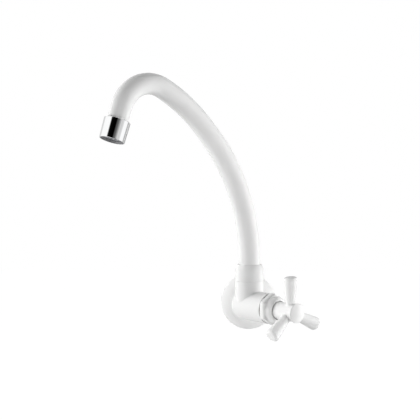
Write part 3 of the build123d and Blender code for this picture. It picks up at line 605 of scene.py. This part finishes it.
def tube_grid(columns=112):
    """Outer skin up the tube and inner skin back down, each a circle square to the centre line."""
    out, up, heading, radius = tube_line()
    turn = np.linspace(0, 2 * np.pi, columns, endpoint=False)[None, :]
    skins = []
    for size in (radius, radius - TUBE_WALL):
        size = size[:, None]
        skins.append(np.stack([
            out[:, None] + size * np.cos(turn) * np.cos(heading)[:, None],
            size * np.sin(turn),
            up[:, None] - size * np.cos(turn) * np.sin(heading)[:, None],
        ], -1))
    return np.concatenate([skins[0], skins[1][::-1]])


SPOUT = place_of(
    (0, -STANDOFF, TUBE_FOOT), (0, 0, 1), (math.cos(SPOUT_ANGLE), math.sin(SPOUT_ANGLE), 0)
)
tube = make_piece("spout_pipe", WHITE_PLASTIC, skin(put(tube_grid(), SPOUT)))
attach(tube, "spout")
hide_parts("spout_tube")


# Aerator housing. Short sleeve of chromed brass, screwed on the outlet with the inserts
# inside. Slightly conical, with a thin rim in front of the lip that holds the inserts. The faces
# inside are a dull metal painted dark, as painted shade in the hollow of the mouth.
HOUSING_OVERLAP, HOUSING_END = 1.7, 17.0
HOUSING_TOP_RADIUS, HOUSING_END_RADIUS = 12.1, 11.6
HOUSING_BORE, HOUSING_MOUTH, HOUSING_LIP = 10.35, 9.5, 0.8
HOUSING_RIM, HOUSING_RIM_RADIUS = 1.4, 10.7
INSIDE_MARGIN = 0.1
CHROME = finish_material(
    "bright_chrome", (0.965, 0.97, 0.975), (0.95, 0.955, 0.96), (0.02, 0.06), (120.0, 1500.0), 0.015,
    metallic=1.0,
)
# Dull metal darkened as painted shade for the hollow of the mouth.
MOUTH_PAINTED_SHADE = finish_material(
    "dull_metal_painted_shade", (0.44, 0.44, 0.45), (0.36, 0.36, 0.37), (0.5, 0.65), (150.0, 1800.0), 0.05, metallic=0.6,
)

out, up, heading, _ = tube_line(2)
tip = put(np.array([[out[-1], 0.0, up[-1]]]), SPOUT)[0]
tip_axis = np.array([math.sin(heading[-1]), 0.0, math.cos(heading[-1])]) @ SPOUT[1]
tip_side = np.array([math.cos(heading[-1]), 0.0, -math.sin(heading[-1])]) @ SPOUT[1]
OUTLET = place_of(tip, tip_axis, tip_side)

lip_back = HOUSING_END - HOUSING_RIM - HOUSING_LIP
housing = make_piece("aerator_sleeve", CHROME, skin(turned(outline(
    (HOUSING_BORE, -HOUSING_OVERLAP, 0.15), (HOUSING_TOP_RADIUS, -HOUSING_OVERLAP, 0.4),
    (HOUSING_END_RADIUS, HOUSING_END, 0.35), (HOUSING_RIM_RADIUS, HOUSING_END, 0.3),
    (HOUSING_RIM_RADIUS, HOUSING_END - HOUSING_RIM, 0.1),
    (HOUSING_MOUTH, HOUSING_END - HOUSING_RIM, 0.25),
    (HOUSING_MOUTH, lip_back, 0.05), (HOUSING_BORE, lip_back, 0.1),
), OUTLET, 160)))
housing.data.materials.append(MOUTH_PAINTED_SHADE)
# Faces inside the rim take the darkened metal: painted shade in the mouth's hollow.
for face in housing.data.polygons:
    offset = np.array(face.center) / MM - OUTLET[0]
    along = offset @ OUTLET[1][2]
    if math.sqrt(offset @ offset - along * along) < HOUSING_RIM_RADIUS + INSIDE_MARGIN:
        face.material_index = 1
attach(housing, "spout")
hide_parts("aerator_housing")


# Bonnet. Screwed in the barrel's mouth by its hexagon: white plastic, with the spindle's brass
# nut moulded in behind. In front of the hexagon are a flat disc and a dome with a recess.
HEX_BACK, HEX_FRONT, HEX_FLATS, HEX_ROUND = 29.8, 37.3, 27.7, 0.9
DISC_RADIUS, DISC_FRONT = 13.6, 38.3
DOME_RADIUS, BONNET_FRONT = 10.7, 42.9
RECESS_FLOOR, RECESS_FLOOR_RADIUS, RECESS_MOUTH, SPINDLE_HOLE = 39.7, 8.9, 9.3, 4.05
BEVEL_WIDTH, BEVEL_HEIGHT, BEVEL_START, BEVEL_SOFTNESS = 2.2, 1.3, 0.15, 0.12
FLAT_ROW, CONE_LIMIT = 2.5, 40.0
SKIRT_DEPTH, SKIRT_FIT, SPINDLE_HOLE_DEPTH = 8.0, 0.05, 3.0
DISC_EDGE, DOME_SHARE, DOME_RISE, DOME_BULGE = 0.3, 0.4, 0.56, 0.5


def hexagon(turn, flat, rounding):
    """Distance from the centre to a hexagon with rounded corners, in each direction.

    A flat is at flat / cos(angle from its middle). Near a corner it is the far side of the
    rounding circle, whose centre lies on the corner's direction.
    """
    angle = np.abs((turn + np.pi / 6) % (np.pi / 3) - np.pi / 6)
    reach = (flat - rounding) / math.cos(math.pi / 6)
    off = np.pi / 6 - angle
    corner = reach * np.cos(off) + np.sqrt(np.clip(rounding ** 2 - (reach * np.sin(off)) ** 2, 0, None))
    touching = math.atan((flat - rounding) * math.tan(math.pi / 6) / flat)
    return np.where(angle < touching, flat / np.cos(angle), corner)


def bonnet_grid(columns=288):
    """Rows from the skirt over the hexagon, disc and dome into the recess.

    On the hexagon's rows the radius is the smaller of the hexagon and a bevelling cone that
    opens from the flats' own circle. All the other rows are circles.
    """
    turn = np.linspace(0, 2 * np.pi, columns, endpoint=False)[None, :]
    bevel = np.linspace(HEX_BACK, HEX_BACK + BEVEL_HEIGHT, 12)
    along = np.concatenate([bevel, [HEX_BACK + FLAT_ROW, HEX_FRONT]])[:, None]
    cone = HEX_FLATS / 2 - BEVEL_START + (along - HEX_BACK) * BEVEL_WIDTH / BEVEL_HEIGHT
    flats = hexagon(turn, HEX_FLATS / 2, HEX_ROUND)
    radius = -BEVEL_SOFTNESS * np.logaddexp(
        -flats / BEVEL_SOFTNESS, -np.minimum(cone, CONE_LIMIT) / BEVEL_SOFTNESS
    )
    block = np.stack([radius * np.cos(turn), radius * np.sin(turn), along + 0 * turn], -1)
    skirt = MOUTH_RADIUS - SKIRT_FIT
    back = outline(
        (0, HEX_BACK - SKIRT_DEPTH, 0), (skirt, HEX_BACK - SKIRT_DEPTH, 0.3), (skirt, HEX_BACK, 0),
        closed=False, rows=4,
    )
    rim = DISC_RADIUS - DISC_EDGE
    middle = (
        DOME_SHARE * rim + (1 - DOME_SHARE) * DOME_RADIUS + DOME_BULGE,
        DISC_FRONT + DOME_RISE * (BONNET_FRONT - DISC_FRONT),
    )
    dome = arc_line((rim, DISC_FRONT), middle, (DOME_RADIUS, BONNET_FRONT), 26)
    disc = outline(
        (HEX_FLATS / 2 - 0.1, HEX_FRONT, 0), (DISC_RADIUS, HEX_FRONT, 0.05),
        (DISC_RADIUS, DISC_FRONT, DISC_EDGE), tuple(dome[0] - (0.25, 0)) + (0,), closed=False,
    )[:-1]
    inside = outline(
        tuple(dome[-2]) + (0,), (DOME_RADIUS, BONNET_FRONT, 0.35), (RECESS_MOUTH, BONNET_FRONT, 0.25),
        (RECESS_FLOOR_RADIUS, RECESS_FLOOR, 0.5), (SPINDLE_HOLE, RECESS_FLOOR, 0.1),
        (SPINDLE_HOLE, RECESS_FLOOR - SPINDLE_HOLE_DEPTH, 0),
        (0, RECESS_FLOOR - SPINDLE_HOLE_DEPTH, 0), closed=False,
    )
    return np.concatenate([
        turned(back, VALVE, columns), put(block, VALVE), turned(disc, VALVE, columns),
        turned(dome[1:-2], VALVE, columns), turned(inside, VALVE, columns),
    ])


# The bonnet's white plastic is painted lighter than the body's: painted light where the handle shades it.
bonnet = make_piece("bonnet_nut", WHITE_PLASTIC_PAINTED_LIGHTER, skin(bonnet_grid(), loop=False))
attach(bonnet, "tap")
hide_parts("bonnet")


# Handle. Hub and three conical arms in one white moulding round a brass socket, with one arm
# nearly straight up at rest. The arms swell to rounded ends and lean a little forward.
HUB_RADIUS, HUB_BACK, HUB_FRONT = 8.5, 40.6, 65.8
HUB_CAVITY, HUB_CAVITY_FLOOR, BUTTON_POCKET = 6.4, 43.6, 6.3
POCKET_FLOOR = 59.6
HANDLE_ANGLE = math.radians(5.5)
ARM_AT, ARM_LEAN, ARM_REACH = 58.3, math.radians(5.0), 35.0
ARM_ROOT, ARM_TIP, ARM_ROOT_AT, ARM_ROUND, ARM_FILLET = 4.2, 6.9, 5.2, 2.6, 1.1
ARM_COUNT, ARM_START, ARM_FACE_DOME = 3, 4.0, 0.4
ROOT_SHRINK, ROOT_SINK = 0.9, 1.0
LEAN_RUN = 4.0

hub = turned(outline(
    (0, HUB_CAVITY_FLOOR, 0), (HUB_CAVITY, HUB_CAVITY_FLOOR, 0.2), (HUB_CAVITY, HUB_BACK, 0.3),
    (HUB_RADIUS, HUB_BACK, 0.5), (HUB_RADIUS, HUB_FRONT, 0.35), (BUTTON_POCKET, HUB_FRONT, 0.2),
    (BUTTON_POCKET, POCKET_FLOOR, 0.1), (0, POCKET_FLOOR, 0), closed=False,
), VALVE, 144)


def arm_grid(number, columns=96, foot_rows=12):
    """Arm with a foot that runs out on the hub.

    The foot starts on the hub's skin, at height sqrt(R^2 - w^2) for a distance w across, a
    fillet's width outside the arm, and turns up a quarter ellipse into the arm's cone. The
    end is closed by a rounded edge and a faintly domed face. Above ARM_START each point then
    moves towards the front by its height * tan(lean), faded in over LEAN_RUN.
    """
    turn = np.linspace(0, 2 * np.pi, columns, endpoint=False)[None, :]
    slope = (ARM_TIP - ARM_ROOT) / (ARM_REACH - ARM_ROUND - ARM_ROOT_AT)
    step = np.linspace(0, np.pi / 2, foot_rows)[:, None]
    start = ARM_ROOT + slope * (HUB_RADIUS + ARM_FILLET - ARM_ROOT_AT)
    radius = start + ARM_FILLET * (1 - np.sin(step))
    along, across = radius * np.cos(turn), radius * np.sin(turn)
    height = np.sqrt(HUB_RADIUS ** 2 - across ** 2) + ARM_FILLET * (1 - np.cos(step))
    foot = np.stack([along, across, height], -1)
    root = (foot[0] * (ROOT_SHRINK, ROOT_SHRINK, 1) - (0, 0, ROOT_SINK))[None]
    side = outline(
        (start + 0.5 * slope, HUB_RADIUS + ARM_FILLET + 0.5, 0),
        (ARM_TIP, ARM_REACH - ARM_FACE_DOME, ARM_ROUND), (0, ARM_REACH, 0), closed=False, rows=12,
    )
    share = np.linspace(0, 1, 8)[1:-1, None]
    stretch = side[:1] + (side[1:2] - side[:1]) * share
    side = np.concatenate([side[:1], stretch, side[1:]])
    shaft = np.stack([side[:, :1] * np.cos(turn), side[:, :1] * np.sin(turn), side[:, 1:] + 0 * turn], -1)
    middle = np.zeros_like(root) + (0, 0, ARM_START)
    local = np.concatenate([middle, root, foot, shaft])
    lean = np.clip((local[..., 2:] - ARM_START) / LEAN_RUN, 0, 1)
    local[..., :1] += lean * (local[..., 2:] * math.tan(ARM_LEAN))
    round_hub = HANDLE_ANGLE + 2 * np.pi * number / ARM_COUNT
    up = -math.sin(round_hub) * VALVE[1][0] + math.cos(round_hub) * VALVE[1][1]
    origin = VALVE[0] + VALVE[1][2] * ARM_AT
    return put(local, place_of(origin, up, VALVE[1][2]))


# The handle's white plastic is painted lighter than the body's: painted light.
handle = make_piece(
    "handle_moulding", WHITE_PLASTIC_PAINTED_LIGHTER,
    skin(hub, loop=False), *(skin(arm_grid(number), loop=False) for number in range(ARM_COUNT)),
)
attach(handle, "handle")
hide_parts("handle")


# Handle button. Plain domed cap of white plastic that snaps in the hub over the screw.
BUTTON_RADIUS, BUTTON_RIM, BUTTON_DOME, BUTTON_PLUG = 9.4, 1.5, 2.4, 4.0

rim = (BUTTON_RADIUS, HUB_FRONT + BUTTON_RIM)
dome = dome_line(rim, (0, HUB_FRONT + BUTTON_RIM + BUTTON_DOME), 36)
cap = outline(
    (0, HUB_FRONT - BUTTON_PLUG, 0), (BUTTON_POCKET - FIT, HUB_FRONT - BUTTON_PLUG, 0.3),
    (BUTTON_POCKET - FIT, HUB_FRONT, 0.1), (BUTTON_RADIUS, HUB_FRONT, 0.35), rim + (0.5,),
    tuple(dome[3]) + (0,), closed=False,
)
# The cap's white plastic is painted lighter than the body's: painted light.
button = make_piece(
    "handle_cap", WHITE_PLASTIC_PAINTED_LIGHTER, skin(turned(np.concatenate([cap, dome[4:]]), VALVE, 160), loop=False),
)
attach(button, "handle")
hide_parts("handle_button")


# Inner works. Turned brass, stainless steel, rubber, acetal and fibre pieces that stand inside
# the mouldings as modelled, each with its own finish.
BRASS = finish_material(
    "turned_brass", (0.74, 0.57, 0.28), (0.66, 0.49, 0.22), (0.22, 0.38), (200.0, 2500.0), 0.12, metallic=1.0,
)
STEEL = finish_material(
    "plain_steel", (0.62, 0.62, 0.63), (0.54, 0.54, 0.56), (0.24, 0.4), (220.0, 2600.0), 0.1, metallic=1.0,
)
RUBBER = finish_material(
    "black_rubber", (0.035, 0.035, 0.036), (0.022, 0.022, 0.022), (0.62, 0.8), (300.0, 3000.0), 0.25,
)
ACETAL = finish_material(
    "natural_acetal", (0.84, 0.84, 0.82), (0.8, 0.8, 0.775), (0.3, 0.42), (90.0, 1800.0), 0.08,
)
CORE_PLASTIC = finish_material(
    "grey_insert", (0.46, 0.47, 0.49), (0.38, 0.39, 0.41), (0.3, 0.42), (150.0, 2000.0), 0.08,
)
FIBRE = finish_material(
    "red_fibre", (0.46, 0.14, 0.1), (0.36, 0.1, 0.07), (0.75, 0.9), (500.0, 3500.0), 0.5,
)
INNER_FINISH = {
    "valve_seat": BRASS, "washer_screw": BRASS, "jumper": BRASS, "spindle": BRASS, "spindle_nut": BRASS,
    "handle_insert": BRASS, "spindle_clip": STEEL, "handle_screw": STEEL, "aerator_screens": STEEL,
    "seat_washer": RUBBER, "spindle_seals": RUBBER, "spout_seals": RUBBER, "aerator_washer": RUBBER,
    "spout_bush": ACETAL, "thrust_washer": ACETAL, "spout_tail": ACETAL, "outlet_nipple": ACETAL,
    "aerator_core": CORE_PLASTIC, "bonnet_gasket": FIBRE,
}

for node, material in INNER_FINISH.items():
    for material_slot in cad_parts[node].material_slots:
        material_slot.material = material
